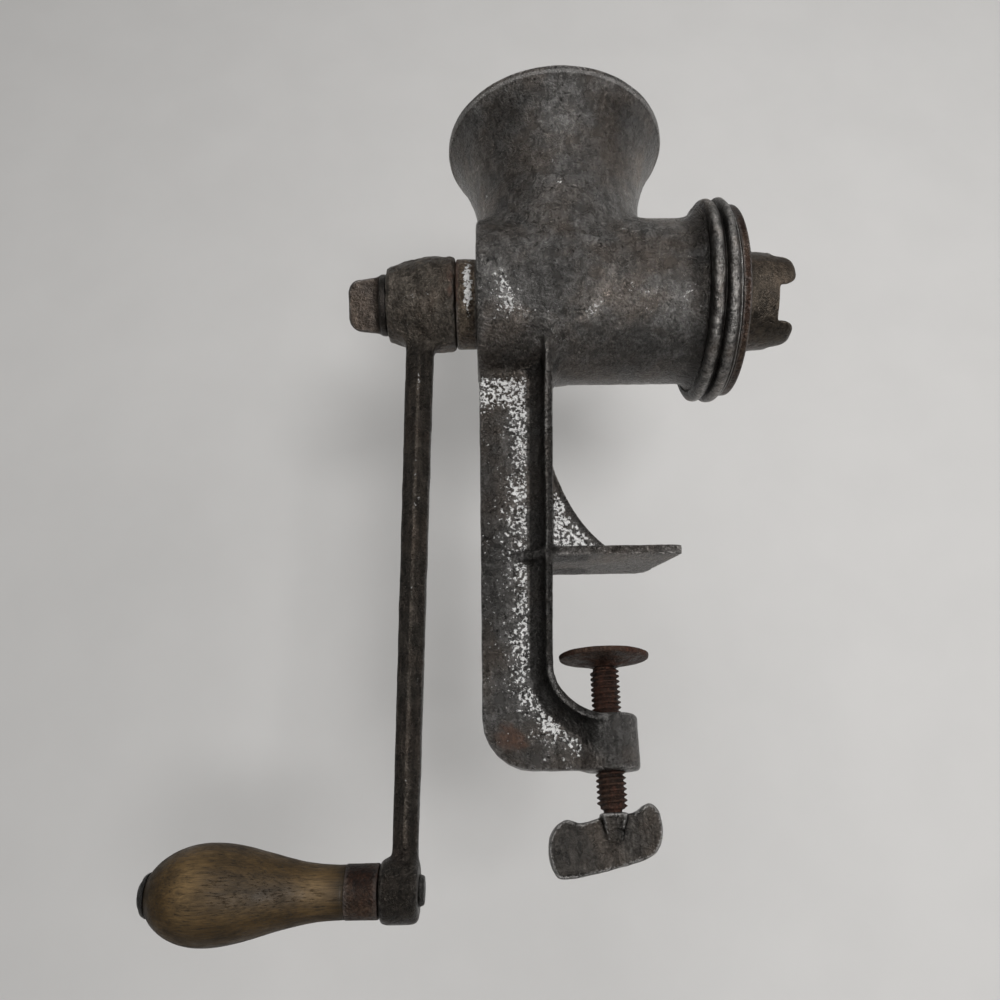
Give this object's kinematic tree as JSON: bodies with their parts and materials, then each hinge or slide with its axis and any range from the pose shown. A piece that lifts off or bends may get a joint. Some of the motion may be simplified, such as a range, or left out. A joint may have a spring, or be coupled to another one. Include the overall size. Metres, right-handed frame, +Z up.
{
  "type": "manual meat grinder",
  "caption": "Hand-cranked meat grinder of cast iron with a flared hopper, a barrel with a feed screw and cutter disc, a wooden crank grip and a table clamp.",
  "frame": {"origin": "where the clamp screw's axis meets the underside of the table plate, which is the table seat", "axes": "+Z up along the clamp screw's axis, +X along the barrel's axis towards the cutter, +Y to the left when looking along +X"},
  "size_m": [0.2324, 0.0926, 0.3138],
  "materials": {
    "casting": "worn tinned cast iron, mottled grey with bright specks",
    "crank_iron": "dark greasy cast iron with brown stains",
    "wing_iron": "plain grey cast iron",
    "rusty_steel": "brown rusted steel",
    "dark_steel": "dark oxidised steel",
    "wood": "worn varnished hardwood"
  },
  "bodies": {
    "body": {"body_casting": "casting", "rear_bush": "rusty_steel"},
    "drive": {"feed_screw": "casting", "thrust_washer": "dark_steel", "cutter_disc": "rusty_steel", "cutter_nut": "rusty_steel", "crank_arm": "crank_iron", "crank_screw": "rusty_steel", "grip_spindle": "dark_steel", "grip_end_washer": "dark_steel"},
    "grip": {"grip": "wood", "grip_ferrule": "rusty_steel"},
    "pad": {"clamp_pad": "rusty_steel"},
    "screw": {"clamp_screw": "rusty_steel", "clamp_wing": "wing_iron"}
  },
  "joints": [
    {"name": "crank_turn", "type": "hinge", "parent": "body", "child": "drive", "pos_m": [0, 0, 0.112], "axis": [1, 0, 0], "continuous": true},
    {"name": "grip_spin", "type": "hinge", "parent": "drive", "child": "grip", "pos_m": [-0.11, 0, -0.1064], "axis": [1, 0, 0], "continuous": true},
    {"name": "clamp_travel", "type": "slide", "parent": "body", "child": "pad", "axis": [0, 0, 1], "range_m": [-0.009, 0.0099]},
    {"name": "clamp_turn", "type": "hinge", "parent": "pad", "child": "screw", "pos_m": [0, 0, -0.06], "axis": [0, 0, 1], "range_deg": [-1853, 2038]}
  ],
  "couplings": [
    {"joint": "clamp_turn", "follows": "clamp_travel", "rad_per_m": 3590.4}
  ]
}
